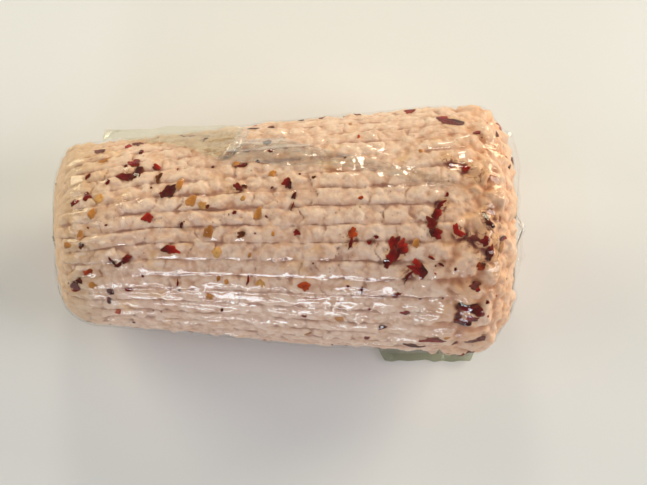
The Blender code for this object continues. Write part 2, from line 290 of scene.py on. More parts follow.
def blocks(x, rib, warp):
    """(height, how near a crack) of the blocks that each rib is broken into."""
    row = np.mod(np.floor(rib), RIBS).astype(np.int64)
    along = x / BLOCK_LENGTH + 10 * scatter(row, 0 * row, 0 * row, 11) + warp
    cell = np.floor(along).astype(np.int64)
    crack = [cell + step + 0.25 + 0.5 * scatter(row, cell + step, 0 * row, 12) for step in (-1, 0, 1)]
    block = np.where(along > crack[1], cell + 1, cell)
    height = BLOCK_STEP * (2 * scatter(row, block, 0 * row, 13) - 1)
    middle = np.where(along > crack[1], (crack[1] + crack[2]) / 2, (crack[0] + crack[1]) / 2)
    height = height + BLOCK_TILT * (along - middle) * (2 * scatter(row, block, 0 * row, 14) - 1)
    near = 0
    for step, place in zip((-1, 0, 1), crack):
        strength = smooth(scatter(row, cell + step, 0 * row, 15) * 1.5 - 0.35)
        away = np.abs(along - place) * BLOCK_LENGTH
        near = np.maximum(near, strength * (1 - smooth(away / CRACK_REACH)))
    return height, near


def corners_rise(x, around, radius, corners):
    """Height that the corners add at each place."""
    total = 0
    for place, degrees, reach, rise in corners:
        turn = np.mod(around - math.radians(degrees) + math.pi, TURN) - math.pi
        away = np.hypot((x - place * MM) / (reach * MM), turn * radius / (2 * reach * MM))
        total = total + rise * MM * (1 - smooth(away))
    return total


def cheese_height():
    """(height over the smooth loaf, how crumbly it is, place among the ribs), each as a grid."""
    x, around = np.broadcast_arrays(SIDE_RINGS.x[:, None], AROUND[None])
    radius = np.broadcast_to(SIDE_RINGS.radius[:, None], x.shape)
    y, z = radius * np.cos(around), radius * np.sin(around)

    def swells(size, seed):
        return waves(x / size, y / size, z / size, seed)

    def lumps(size, seed, edge=0.45):
        return curds(x / size, y / size, z / size, seed, edge)

    rib = rib_count(x, around)
    share = rib - np.floor(rib)
    pitch = TURN * taper(x) / RIBS
    from_slit = np.minimum(share, 1 - share) * pitch
    groove = np.mod(np.round(rib), RIBS)
    open_share = np.clip(0.55 + 0.6 * waves(x / (9 * MM), groove * 3.7, 0 * x, 5), 0, 1)
    slit = SLIT_DEPTH * (0.35 + 0.65 * open_share) * (1 - smooth(from_slit / SLIT_REACH))
    shoulder = SHOULDER_DROP * (0.6 + 0.5 * open_share) * np.clip(1 - from_slit / SHOULDER_REACH, 0, 1) ** 2
    shoulder = shoulder + CROWN * (1 - 2 * from_slit / pitch) ** 2
    height, crack = blocks(x, rib, 0.27 * swells(4 * MM, 7))
    level = smooth(from_slit / (SHOULDER_REACH * 0.6))
    chips = smooth((swells(3.4 * MM, 8) - 0.25) / 0.3)
    ribbed = height * level - slit - shoulder - CRACK_DEPTH * crack * level
    ribbed = ribbed - 0.35 * MM * chips * smooth(1 - from_slit / (2.2 * MM))
    for size, rise, seed in PEBBLES:
        ribbed = ribbed + rise * (lumps(size, seed, 0.55) - 0.7)
    large = CURD_RISE * (0.7 * lumps(CURD_SIZE, 21) + 0.3 * lumps(CURD_SIZE, 21, 0.95) - 0.56)
    small = lumps(5.2 * MM, 31, 0.55)
    ends = RIBS_END + RIBS_END_SPREAD * waves(y / (20 * MM), z / (20 * MM), 0 * y, 22)
    loose = smooth((x - ends) / (14 * MM) + 0.5)
    on_side = smooth((radius / taper(x) - RIBS_FADE_AT) / (0.9 - RIBS_FADE_AT))
    crumbly = np.maximum(loose, 0.5 * (1 - on_side))
    total = SWELL * swells(SWELL_SIZE, 23) + ribbed * (1 - 0.6 * loose) * on_side + large * loose
    total = total + (small - 0.7) * 0.8 * MM * crumbly
    for size, rise, seed in PEBBLES:
        total = total + 0.4 * crumbly * rise * (lumps(size, seed, 0.5) - 0.7)
    total = total + corners_rise(x, around, radius, LOAF_CORNERS)
    for index, (size, rise) in enumerate(GRAIN):
        total = total + rise * (1 + 0.8 * crumbly) * swells(size, 40 + index)
    return total, crumbly, rib


def shifted(grid, rows, columns):
    """The grid moved by whole steps: it is closed around, and stops at the ends."""
    rolled = np.roll(grid, columns, axis=1)
    if rows > 0:
        rolled = np.concatenate([np.repeat(rolled[:1], rows, axis=0), rolled[:-rows]])
    if rows < 0:
        rolled = np.concatenate([rolled[-rows:], np.repeat(rolled[-1:], -rows, axis=0)])
    return rolled


def spread(grid, rows, columns, pick):
    """Each point takes the most, or the least, of those within so many steps of it."""
    for _ in range(rows):
        grid = pick(grid, pick(shifted(grid, 1, 0), shifted(grid, -1, 0)))
    for _ in range(columns):
        grid = pick(grid, pick(shifted(grid, 0, 1), shifted(grid, 0, -1)))
    return grid


def evened(grid, rows, columns):
    """Each point halfway to the mean of its two neighbours, which lie so many steps off."""
    return (2 * grid + shifted(grid, rows, columns) + shifted(grid, -rows, -columns)) / 4


def blurred(grid, rounds):
    for _ in range(rounds):
        grid = evened(evened(grid, 1, 0), 0, 1)
    return grid


def bridged(grid, rows, columns):
    """The grid with its grooves filled as a tight film bridges them."""
    return spread(spread(grid, rows, columns, np.maximum), rows, columns, np.minimum)


def surface(height, rows=slice(None), columns=slice(None), floor=0.0):
    """Points at a height over the smooth loaf. The taper's lowest line lies level, pressed on the table."""
    x = SIDE_RINGS.x[rows, None] + SIDE_RINGS.out_x[rows, None] * height
    radius = SIDE_RINGS.radius[rows, None] + SIDE_RINGS.out_r[rows, None] * height
    around = AROUND[columns][None]
    axis_height = taper(SIDE_RINGS.x[rows, None]) - RESTING_FLAT
    y = radius * np.cos(around)
    z = np.maximum(axis_height + radius * np.sin(around), floor)
    return np.stack([x, y, z], axis=-1)


def camera_turn():
    """The camera's axes: right, up and back."""
    back = Vector((
        math.sin(CAMERA_AZIMUTH) * math.cos(CAMERA_ELEVATION),
        -math.cos(CAMERA_AZIMUTH) * math.cos(CAMERA_ELEVATION),
        math.sin(CAMERA_ELEVATION),
    ))
    right = Vector((math.cos(CAMERA_AZIMUTH), math.sin(CAMERA_AZIMUTH), 0))
    up = back.cross(right)
    rolled_up = up * math.cos(CAMERA_ROLL) + right * math.sin(CAMERA_ROLL)
    rolled_right = right * math.cos(CAMERA_ROLL) - up * math.sin(CAMERA_ROLL)
    return rolled_right, rolled_up, back


def picture_places(points):
    """(columns, rows) of points in the photograph."""
    right, up, back = (np.array(axis) for axis in camera_turn())
    away = points - np.array(CAMERA_AIM) - back * CAMERA_DISTANCE
    scale = CAMERA_LENS / SENSOR_WIDTH * FRAME_WIDTH / -(away @ back)
    return FRAME_WIDTH / 2 + away @ right * scale, FRAME_HEIGHT / 2 - away @ up * scale


def mesh_object(name, points, faces, material):
    mesh = bpy.data.meshes.new(name)
    mesh.from_pydata(points, [], faces)
    mesh.materials.append(material)
    mesh.shade_smooth()
    made = bpy.data.objects.new(name, mesh)
    bpy.context.scene.collection.objects.link(made)
    return made


def closed_grid(points, small_end, wide_end):
    """(points, faces) of a grid that is closed around and capped by a fan at each end."""
    rings, columns = points.shape[:2]
    index = np.arange(rings * columns).reshape(rings, columns)
    after = np.roll(index, -1, axis=1)
    quads = np.stack([index[:-1], after[:-1], after[1:], index[1:]], axis=-1).reshape(-1, 4)
    first, last = rings * columns, rings * columns + 1
    faces = quads.tolist()
    faces += [(first, b, a) for a, b in zip(index[0].tolist(), after[0].tolist())]
    faces += [(last, a, b) for a, b in zip(index[-1].tolist(), after[-1].tolist())]
    return np.concatenate([points.reshape(-1, 3), [small_end, wide_end]]), faces


def end_points(points):
    return points[0].mean(axis=0), points[-1].mean(axis=0)


def point_values(mesh, name, values):
    """Stores one number for each point, which a material reads by name."""
    layer = mesh.attributes.new(name, "FLOAT", "POINT")
    layer.data.foreach_set("value", np.asarray(values, dtype=np.float32).ravel())


def point_colours(mesh, name, colours):
    layer = mesh.attributes.new(name, "FLOAT_COLOR", "POINT")
    rgba = np.ones((len(colours), 4), dtype=np.float32)
    rgba[:, :3] = colours
    layer.data.foreach_set("color", rgba.ravel())


class Nodes:
    """Short forms for building a material's nodes."""

    def __init__(self, name):
        self.material = bpy.data.materials.new(name)
        self.material.use_nodes = True
        self.tree = self.material.node_tree
        self.shader = self.tree.nodes["Principled BSDF"]
        self.output = self.tree.nodes["Material Output"]

    def add(self, kind, **settings):
        node = self.tree.nodes.new(kind)
        for key, value in settings.items():
            setattr(node, key, value)
        return node

    def link(self, source, target):
        self.tree.links.new(source, target)

    def value(self, name):
        return self.add("ShaderNodeAttribute", attribute_name=name).outputs["Fac"]

    def colour(self, name):
        return self.add("ShaderNodeAttribute", attribute_name=name).outputs["Color"]

    def position(self, scale=(1, 1, 1)):
        place = self.add("ShaderNodeTexCoord").outputs["Object"]
        mapping = self.add("ShaderNodeMapping")
        mapping.inputs["Scale"].default_value = scale
        self.link(place, mapping.inputs["Vector"])
        return mapping.outputs["Vector"]

    def noise(self, size, detail=3.0, scale=(1, 1, 1), roughness=0.55):
        """Noise whose swells are about size across."""
        node = self.add("ShaderNodeTexNoise")
        node.inputs["Scale"].default_value = 1 / size
        node.inputs["Detail"].default_value = detail
        node.inputs["Roughness"].default_value = roughness
        self.link(self.position(scale), node.inputs["Vector"])
        return node.outputs["Fac"]

    def cells(self, size):
        """How far each place is from the middle of its cell, in cells about size across."""
        node = self.add("ShaderNodeTexVoronoi", feature="F1")
        node.inputs["Scale"].default_value = 1 / size
        self.link(self.position(), node.inputs["Vector"])
        return node.outputs["Distance"]

    def ramp(self, source, low, high, to_low=0.0, to_high=1.0):
        node = self.add("ShaderNodeMapRange", clamp=True, interpolation_type="SMOOTHSTEP")
        for name, value in (
            ("From Min", low), ("From Max", high), ("To Min", to_low), ("To Max", to_high)
        ):
            node.inputs[name].default_value = value
        self.link(source, node.inputs["Value"])
        return node.outputs["Result"]

    def maths(self, operation, a, b):
        node = self.add("ShaderNodeMath", operation=operation, use_clamp=False)
        for socket, value in zip(node.inputs, (a, b)):
            if isinstance(value, (int, float)):
                socket.default_value = value
            else:
                self.link(value, socket)
        return node.outputs[0]

    def mix(self, factor, a, b, blend="MIX"):
        node = self.add("ShaderNodeMix", data_type="RGBA", blend_type=blend)
        for socket, value in zip((node.inputs[0], node.inputs[6], node.inputs[7]), (factor, a, b)):
            if isinstance(value, (int, float)):
                socket.default_value = value
            elif isinstance(value, tuple):
                socket.default_value = (*value, 1)
            else:
                self.link(value, socket)
        return node.outputs[2]

    def bump(self, height, distance, strength=1.0, under=None):
        node = self.add("ShaderNodeBump")
        node.inputs["Strength"].default_value = strength
        node.inputs["Distance"].default_value = distance
        self.link(height, node.inputs["Height"])
        if under is not None:
            self.link(under, node.inputs["Normal"])
        return node.outputs["Normal"]

    def set(self, **values):
        for name, value in values.items():
            socket = self.shader.inputs[name.replace("_", " ")]
            if isinstance(value, (int, float, tuple)):
                socket.default_value = value
            else:
                self.link(value, socket)


def srgb(red, green, blue):
    """A colour as seen on screen, from 0 to 255, as the shader's linear colour."""
    shares = [c / 255 for c in (red, green, blue)]
    return tuple(c / 12.92 if c <= 0.04045 else ((c + 0.055) / 1.055) ** 2.4 for c in shares)


def cheese_material():
    n = Nodes("cheese")
    depth = n.value("depth")
    stain = n.value("stain")
    colour = n.mix(n.ramp(n.noise(22 * MM, 2), 0.35, 0.65), srgb(229, 190, 165), srgb(222, 177, 148))
    colour = n.mix(n.ramp(n.noise(4 * MM, 4), 0.42, 0.62, 0, 0.75), colour, srgb(243, 214, 192))
    colour = n.mix(n.ramp(n.noise(11 * MM, 3), 0.6, 0.7, 0, 0.4), colour, srgb(238, 188, 116))
    colour = n.mix(n.ramp(n.noise(5 * MM, 3), 0.52, 0.68, 0, 0.5), colour, srgb(216, 163, 124))
    colour = n.mix(n.ramp(n.noise(2.6 * MM, 3), 0.55, 0.7, 0, 0.5), colour, srgb(198, 157, 126))
    # Painted highlight and painted shade: the tops of ribs and lumps paler, their hollows darker
    colour = n.mix(n.ramp(n.value("painted_relief_light"), 0.5, 0.9, 0, 0.4), colour, srgb(245, 217, 196))
    colour = n.mix(n.ramp(n.value("painted_relief_light"), 0.1, 0.45, 0.24, 0), colour, srgb(200, 148, 120))
    ends = n.maths("MULTIPLY", n.value("ends"), n.ramp(n.noise(8 * MM, 3), 0.35, 0.65, 0.1, 0.62))
    colour = n.mix(ends, colour, srgb(228, 170, 118))
    colour = n.mix(n.maths("MULTIPLY", n.value("small_end"), 0.55), colour, srgb(208, 172, 124))
    # Painted shade: the deeper in a groove, the darker and more reddish-brown
    colour = n.mix(n.ramp(depth, 0.5, 0.95, 0, 0.58), colour, srgb(162, 98, 70))
    # Painted shade in the wide end's crevices, in orange-tan
    crevice = n.maths("MULTIPLY", n.value("ends"), n.ramp(depth, 0.15, 0.6))
    colour = n.mix(n.maths("MULTIPLY", crevice, 0.5), colour, srgb(204, 128, 76))
    colour = n.mix(n.ramp(stain, 0.0, 0.5, 0, 0.6), colour, srgb(224, 172, 116))
    colour = n.mix(n.ramp(stain, 0.35, 1.0, 0, 0.5), colour, srgb(206, 116, 78))
    veins = n.maths("ABSOLUTE", n.maths("SUBTRACT", n.noise(3.4 * MM, 3), 0.5), 0)
    sunk = n.maths("MAXIMUM", n.ramp(veins, 0.004, 0.03, 0.9, 0), n.ramp(depth, 0.25, 0.6))
    sunk = n.maths("MULTIPLY", n.ramp(stain, 0.08, 0.5), sunk)
    colour = n.mix(n.maths("MULTIPLY", sunk, 0.92), colour, srgb(116, 26, 22))
    # Painted shade in small pits, which are also bumped in below
    pits = n.cells(2.1 * MM)
    pit_shade = n.maths("MULTIPLY", n.ramp(pits, 0.1, 0.2, 1, 0), n.ramp(n.noise(9 * MM, 2), 0.5, 0.6))
    colour = n.mix(n.maths("MULTIPLY", pit_shade, 0.5), colour, srgb(140, 96, 66))
    grain = n.noise(0.9 * MM, 4, roughness=0.65)
    bump = n.bump(grain, 0.4 * MM, 0.6)
    bump = n.bump(n.ramp(pits, 0.05, 0.25), 0.25 * MM, 0.5, bump)
    n.set(
        Base_Color=colour,
        Roughness=n.ramp(n.noise(3 * MM, 3), 0.3, 0.7, 0.36, 0.58),
        Normal=bump,
        Subsurface_Weight=0.14,
        Subsurface_Radius=(1.0, 0.55, 0.3),
        Subsurface_Scale=1.6 * MM,
    )
    return n.material


def chilli_material():
    n = Nodes("chilli")
    colour = n.mix(n.ramp(n.noise(1.4 * MM, 3), 0.45, 0.7, 0, 0.5), n.colour("Col"), srgb(92, 10, 3))
    bump = n.bump(n.noise(0.8 * MM, 3), 0.3 * MM, 0.6)
    n.set(Base_Color=colour, Roughness=0.5, Specular_IOR_Level=0.08, Normal=bump)
    return n.material


def seed_material():
    n = Nodes("seed")
    colour = n.mix(n.ramp(n.noise(1.6 * MM, 3), 0.4, 0.7, 0, 0.55), n.colour("Col"), srgb(170, 104, 42))
    n.set(Base_Color=colour, Roughness=0.45, Specular_IOR_Level=0.15)
    n.set(Normal=n.bump(n.noise(0.6 * MM, 2), 0.15 * MM, 0.5))
    return n.material


def film_material(name, tint, haze, index, most):
    """Clear film: see-through, with a mirror that grows towards its edges. Haze is how milky the mirror is."""
    n = Nodes(name)
    fine = n.noise(1.5 * MM, 2, scale=(0.16, 1, 1), roughness=0.4)
    dents = n.noise(3.2 * MM, 2, scale=(0.75, 1, 1))
    bump = n.bump(fine, 0.2 * MM, 0.14)
    bump = n.bump(dents, 0.4 * MM, 0.3, bump)
    n.set(Base_Color=srgb(244, 248, 252) + (1,), Metallic=1 - haze, Roughness=0.06, Normal=bump)
    see = n.add("ShaderNodeBsdfTransparent")
    see.inputs["Color"].default_value = (*tint, 1)
    fresnel = n.add("ShaderNodeFresnel")
    fresnel.inputs["IOR"].default_value = index
    n.link(bump, fresnel.inputs["Normal"])
    mixed = n.add("ShaderNodeMixShader")
    n.link(n.maths("MINIMUM", fresnel.outputs[0], most), mixed.inputs[0])
    n.link(see.outputs[0], mixed.inputs[1])
    n.link(n.shader.outputs[0], mixed.inputs[2])
    n.link(mixed.outputs[0], n.output.inputs["Surface"])
    return n.material


# Chilli colours as seen on screen, the pale one that a seed's edge fades to, and how much larger than measured the
# skins are made, because the cheese covers their rims
SHADES = {
    "red": (156, 16, 6),
    "bright": (184, 30, 8),
    "orange": (204, 76, 18),
    "maroon": (126, 18, 8),
    "dark": (90, 16, 6),
    "mauve": (126, 60, 50),
    "brown": (128, 62, 22),
    "amber": (166, 98, 24),
    "ochre": (212, 140, 62),
    "pale": (236, 180, 106),
}
SOFT_EDGE = (216, 162, 116)
SKIN_UNIT = 1.1 * MM

# Chilli in the photograph: (column, row, length, width, turn, shade), lengths in millimetres and the turn in
# degrees from the picture's right towards its top
SKINS = (
    (128, 146.5, 2.7, 2, 40, "bright"), (138, 144, 3.4, 2.4, 0, "mauve"), (141, 152, 2.3, 1.4, 80, "maroon"),
    (99, 151.5, 3.8, 2, 0, "mauve"), (134.5, 163.5, 4.4, 3.2, 20, "red"), (139, 172, 4.4, 3, 70, "dark"),
    (126, 177, 5.4, 2.8, -12, "maroon"), (125.5, 166, 1.6, 1.2, 80, "maroon"),
    (157, 167, 3, 1.8, -25, "bright"), (158, 177, 3.4, 1.6, 70, "brown"), (88, 176, 2.4, 1.2, 50, "maroon"),
    (108, 182, 2, 1.3, 30, "maroon"), (87, 197, 3.2, 2.6, 90, "maroon"), (75, 202.5, 3.8, 1.8, 15, "red"),
    (169, 190, 5.4, 3.8, 55, "dark"), (163, 194, 2.4, 1.6, 10, "maroon"), (147, 218, 3.8, 2.8, 45, "bright"),
    (208, 207, 1.4, 1.2, 0, "brown"), (238, 187, 3.4, 2.2, -35, "maroon"), (244, 186, 2, 1, 0, "brown"),
    (243, 165, 2.8, 1, 15, "maroon"), (258, 161, 1.4, 0.9, 0, "maroon"), (287, 182, 3.6, 3, 70, "red"),
    (294.5, 196, 2.4, 1.4, 80, "dark"), (293, 206, 2.4, 0.5, 70, "maroon"), (268, 142, 2.8, 2, 20, "mauve"),
    (269.5, 151, 1.8, 1.2, 0, "red"), (271, 127, 2.2, 1.4, 0, "brown"), (254, 129, 5, 2.6, 5, "dark"),
    (188, 137, 4.4, 0.9, -20, "red"), (205, 139, 1.8, 1, 30, "maroon"), (181, 225, 1.8, 1, 80, "dark"),
    (234, 212, 1.5, 1.2, 60, "maroon"), (241, 235, 3.2, 1.7, 28, "brown"), (296, 232, 2.2, 1.9, 40, "red"),
    (314, 177, 1.3, 1.1, 0, "brown"), (361, 198, 1.5, 1.3, 0, "orange"), (357, 112, 2.8, 1.2, 0, "brown"),
    (358, 136.5, 1.5, 0.8, 80, "orange"), (409, 111, 3.4, 3, 0, "red"), (451, 121.5, 9.2, 4.4, -20, "maroon"),
    (443, 118, 3.6, 2.8, -20, "red"), (477, 132, 2.6, 1, 15, "bright"), (497, 134, 2.8, 2, -30, "mauve"),
    (466, 168, 2.4, 1.7, 50, "bright"), (509.5, 167, 1.6, 1.2, 60, "brown"),
    (448, 194.5, 1.8, 0.9, 65, "maroon"), (441, 204, 3.6, 1.7, 45, "maroon"), (436, 214, 4.4, 2.8, 70, "red"),
    (432.5, 223, 4.6, 3, 88, "maroon"), (436, 233, 4.4, 3.2, -60, "red"), (457, 231.5, 4.6, 2.6, -50, "bright"),
    (474, 239, 4.8, 1.8, -10, "mauve"), (485, 241, 3.6, 2.8, -60, "maroon"), (491, 252, 5.4, 2.2, 85, "maroon"),
    (487, 216, 3.4, 2.4, -60, "brown"), (491, 224, 3.4, 2.2, -40, "dark"), (504, 238, 3, 1.6, 5, "bright"),
    (432, 258, 2.4, 0.8, -30, "red"), (441, 264.5, 1.8, 0.8, -30, "red"), (456, 270, 1.4, 1, 70, "maroon"),
    (482, 267, 3.4, 2.6, 40, "orange"), (475, 285, 4.2, 2, 10, "mauve"), (478, 290, 1.9, 1.4, 40, "red"),
    (488, 302, 1.2, 1, 0, "maroon"), (466, 307.5, 5.4, 2.8, -12, "red"), (477, 311.5, 6, 3, -18, "maroon"),
    (463, 323, 6.4, 2.4, 12, "maroon"), (472, 319, 4.2, 2.2, 10, "red"), (405, 313, 2.8, 1.9, 10, "red"),
    (433, 340, 7, 1.8, 8, "red"), (414, 346, 6, 2.2, 0, "dark"), (454, 343, 1.9, 1, 0, "orange"),
    (471, 341.5, 4, 1.8, 5, "maroon"), (482, 339, 2.6, 2.2, 0, "maroon"), (469, 355, 2.4, 1.8, 0, "maroon"),
    (449, 353, 2, 1.4, 0, "maroon"), (461, 357, 2.2, 1.6, 0, "maroon"), (81, 246, 2.6, 1.6, 80, "brown"),
    (112, 261, 3.6, 0.9, -50, "maroon"), (126, 259, 3.8, 2.2, 30, "maroon"), (118, 265, 2.8, 1.5, 20, "dark"),
    (169.5, 249, 5.2, 3.2, -20, "bright"), (88, 272, 3.4, 1.9, 15, "orange"), (75, 287, 5, 3.2, 60, "maroon"),
    (79, 281, 2.4, 1.8, 0, "dark"), (111, 292, 2.8, 2.2, 40, "dark"), (109, 300, 2.6, 1.5, 80, "maroon"),
    (128, 290, 2.6, 0.9, 0, "red"), (178, 284, 2.2, 0.6, 80, "red"), (118, 312, 2.2, 1.8, 0, "orange"),
    (353, 233, 3.8, 2.6, 60, "orange"), (350.5, 243, 4.4, 1.1, 80, "maroon"), (370, 242, 1.6, 1.3, 70, "red"),
    (376, 237, 1.6, 1.1, 0, "red"), (394, 242, 4.4, 3.4, 70, "red"), (402, 248, 5.4, 3.6, 60, "bright"),
    (391, 257, 5.6, 3.2, 65, "red"), (398, 253, 5.8, 2.6, 60, "maroon"), (388, 263, 3.2, 2.4, 60, "maroon"),
    (420.5, 270, 6, 4.2, -55, "red"), (417, 264, 3.4, 2.6, -40, "bright"), (408, 275, 6.4, 0.9, 55, "maroon"),
    (305, 286, 4, 2.8, -35, "orange"), (348, 287, 1.4, 1, 0, "red"), (361, 290, 1.9, 0.9, 80, "maroon"),
    (396, 295, 3.4, 1.4, 20, "maroon"), (304.5, 316, 1.4, 1, 0, "red"), (367, 338, 1.9, 1.9, 0, "maroon"),
    (383, 328, 3.4, 1.2, 35, "maroon"), (222, 310, 2, 0.8, 80, "maroon"), (248, 281, 2.4, 0.9, 80, "red"),
)
SEEDS = (
    (98.5, 199, 4, 3.2, 70, "pale"), (92, 214, 4.2, 2.8, 60, "ochre"), (80, 235.5, 4, 2.4, 70, "ochre"),
    (66.6, 245, 4.2, 2.4, 0, "ochre"), (104, 161, 4.6, 1.4, 15, "ochre"), (93, 285.5, 3.6, 3, -40, "ochre"),
    (179, 184, 4.4, 2.8, 80, "ochre"), (191.5, 201, 4.6, 3.8, 60, "ochre"), (202, 206, 3.4, 2.8, 0, "pale"),
    (235.5, 164, 2.6, 1.8, 20, "ochre"), (271.5, 174, 2.8, 2.6, 60, "ochre"), (258, 214, 4.8, 2.8, 75, "ochre"),
    (243, 198, 2.2, 1.8, 80, "pale"), (208.5, 233, 5, 3.4, 80, "amber"), (217, 253, 4, 3.6, 60, "pale"),
    (249, 256, 2.2, 1.1, 80, "ochre"), (273, 234, 1.9, 1.3, 80, "ochre"), (218, 279, 2.2, 1.5, 80, "amber"),
    (226, 282, 2.2, 1.8, 80, "ochre"), (260, 283, 4.2, 2.8, -20, "pale"), (209, 297, 3.8, 2.8, -20, "ochre"),
    (339, 319, 3.2, 2.8, 0, "ochre"), (307, 334, 2.4, 1.8, 0, "ochre"), (134, 326, 4.2, 2, 0, "ochre"),
    (415.6, 244, 3.4, 2.3, 75, "ochre"), (420, 151, 1.6, 1.5, 0, "ochre"), (350, 124, 2, 1.3, 80, "ochre"),
    (501, 248, 4.4, 2.8, 60, "ochre"), (447, 338, 2.6, 1.4, 0, "ochre"),
)

# Where chilli has reddened the crevices: (column, row, reach in millimetres)
STAINS = (
    (446, 158, 3), (455, 165, 3.4), (468, 170, 4), (480, 174, 3.6), (489, 177, 2.4), (442, 204, 3),
    (488, 214, 4.6), (487, 226, 4.6), (462, 236, 3.4), (478, 246, 4), (466, 314, 4.6), (396, 254, 3),
    (133, 174, 2.6), (104, 161, 2.4), (236, 190, 2.4), (352, 240, 2.4), (72, 290, 2.6), (196, 192, 1.6),
    (500, 222, 3.4), (493, 240, 4), (497, 256, 3), (484, 264, 3),
)

STAIN_LIFT = 0.35 * MM

# How the cheese and the film lie round the chilli: the cheese is pressed down under it, and the film rises over it
CHILLI_FROM = 0.1 * MM
CHEESE_UNDER = 0.12 * MM
FILM_OVER = 0.85

# Flakes that the photograph doesn't show are drawn at random
RANDOM_SEED = 7
HIDDEN_SKINS = 170
HIDDEN_SEEDS = 70
CRUMBS = 110
HIDDEN_SHADES = ("red", "maroon", "maroon", "dark", "bright", "brown", "mauve", "orange")
SEED_SHADES = ("ochre", "ochre", "pale", "amber")
HIDDEN_FACING = 0.03


class Cover:
    """The loaf's surface at the heights of a grid, read at any place along and around it."""

    def __init__(self, base):
        self.base = base

    def height_at(self, length, around):
        row = np.interp(length, SIDE_RINGS.length, np.arange(len(SIDE_RINGS.length)))
        column = np.mod(around / TURN * CHEESE_COLUMNS, CHEESE_COLUMNS)
        r0 = np.clip(np.floor(row).astype(int), 0, len(SIDE_RINGS.length) - 2)
        c0 = np.floor(column).astype(int) % CHEESE_COLUMNS
        c1 = (c0 + 1) % CHEESE_COLUMNS
        fr, fc = row - r0, column - np.floor(column)
        top = self.base[r0, c0] * (1 - fc) + self.base[r0, c1] * fc
        low = self.base[r0 + 1, c0] * (1 - fc) + self.base[r0 + 1, c1] * fc
        return top * (1 - fr) + low * fr

    def point_at(self, length, around, lift):
        rings = SIDE_RINGS
        height = self.height_at(length, around) + lift
        ring_x = np.interp(length, rings.length, rings.x)
        x = ring_x + np.interp(length, rings.length, rings.out_x) * height
        radius = np.interp(length, rings.length, rings.radius)
        radius = radius + np.interp(length, rings.length, rings.out_r) * height
        z = np.maximum(taper(ring_x) - RESTING_FLAT + radius * np.sin(around), FLAKE_FLOOR)
        return np.stack([x, radius * np.cos(around), z], axis=-1)


class Flakes:
    """Many thin plates on the loaf, joined in one mesh, each with its own colour."""

    def __init__(self, base, corners):
        self.cover = Cover(base)
        self.corners = corners
        self.points = []
        self.faces = []
        self.colours = []
        self.bumps = np.zeros_like(base)
        self.draw = np.random.default_rng(RANDOM_SEED + corners)

    def add(self, length, around, size, width, turn, shade, levels, unevenness, sharpness=0.0, soft=0.1):
        """One plate. Levels are (share of the way out, height) from its middle to its edge.

        Sharpness draws it out to a point, and soft is how far its edge fades to SOFT_EDGE.
        """
        draw = self.draw
        theta = (np.arange(self.corners) + draw.uniform(0, 1)) * TURN / self.corners
        lobes = sum(
            np.cos(wave * theta + draw.uniform(0, TURN)) * draw.uniform(0.4, 1) / wave**0.6
            for wave in range(2, 8)
        )
        reach = np.maximum(1 + unevenness * lobes + sharpness * np.cos(theta) ** 3, 0.3)
        bend = unevenness * draw.uniform(-1.6, 1.6)
        ring_radius = np.interp(length, SIDE_RINGS.length, SIDE_RINGS.radius)
        curl = draw.uniform(-0.12, 0.22) * MM
        tilt = draw.uniform(0, TURN)
        first = len(self.points)
        wobble = draw.uniform(-1, 1, (len(levels), self.corners))
        colour = np.array(srgb(*SHADES[shade]))
        fade = unevenness * draw.uniform(1.0, 3.5)
        for level, (share, lift) in enumerate(levels):
            a = size / 2 * reach * share * np.cos(theta)
            b = width / 2 * reach * share * np.sin(theta)
            b = b + bend * (a / size) ** 2 * size
            along = a * math.cos(turn) - b * math.sin(turn)
            up = a * math.sin(turn) + b * math.cos(turn)
            rise = lift + (curl * share**2 * np.cos(theta - tilt) + 0.05 * MM * wobble[level]) * (lift > 0)
            if share == 0:
                along, up, rise = along[:1], up[:1], rise[:1]
            self.points.extend(self.cover.point_at(length + along, around - up / ring_radius, rise))
            patchy = 0.5 + 0.5 * np.cos(theta[: len(rise)] - tilt) * share + 0.2 * wobble[level][: len(rise)]
            shown = colour[None] * (1 - fade * np.clip(patchy, 0, 1))[:, None]
            self.colours.extend(shown + soft * share**4 * (np.array(srgb(*SOFT_EDGE)) - shown))
        sides = [(a, (a + 1) % self.corners) for a in range(self.corners)]
        start = first + 1
        self.faces.extend((first, start + a, start + b) for a, b in sides)
        for _ in levels[2:]:
            below = start + self.corners
            self.faces.extend((start + a, below + a, below + b, start + b) for a, b in sides)
            start = below
        if levels is not CRUMB_LEVELS:
            self.mark(length, around, max(size, width) / 2, levels[1][1])

    def mark(self, length, around, reach, lift):
        """Notes how high this plate stands, for the film that lies over it."""
        rings = SIDE_RINGS
        rows = np.flatnonzero(np.abs(rings.length - length) < reach * 1.2)
        if not len(rows):
            return
        radius = rings.radius[rows].mean()
        turn = np.mod(AROUND - around + math.pi, TURN) - math.pi
        columns = np.flatnonzero(np.abs(turn) * radius < reach * 1.2)
        away = np.hypot(rings.length[rows][:, None] - length, turn[columns][None] * radius) / reach
        bump = lift * (1 - smooth((away - 0.5) / 0.7))
        patch = np.ix_(rows, columns)
        self.bumps[patch] = np.maximum(self.bumps[patch], bump)

    def build(self, name, material):
        made = mesh_object(name, [tuple(p) for p in self.points], self.faces, material)
        point_colours(made.data, "Col", np.array(self.colours))
        return made


SKIN_LEVELS = (
    (0, 0.32 * MM), (0.35, 0.34 * MM), (0.7, 0.32 * MM), (0.95, 0.18 * MM), (1.0, -0.5 * MM)
)
SEED_LEVELS = (
    (0, 0.36 * MM), (0.45, 0.34 * MM), (0.75, 0.24 * MM), (0.95, 0.05 * MM), (1.0, -0.5 * MM)
)
CRUMB_LEVELS = ((0, 0.12 * MM), (0.7, 0.1 * MM), (1.0, -0.25 * MM))

# What Flakes.add takes last: levels, unevenness, sharpness, soft
SKIN_FORM = (SKIN_LEVELS, 0.32)
SEED_FORM = (SEED_LEVELS, 0.19, 0.12, 0.6)
CRUMB_FORM = (CRUMB_LEVELS, 0.25)


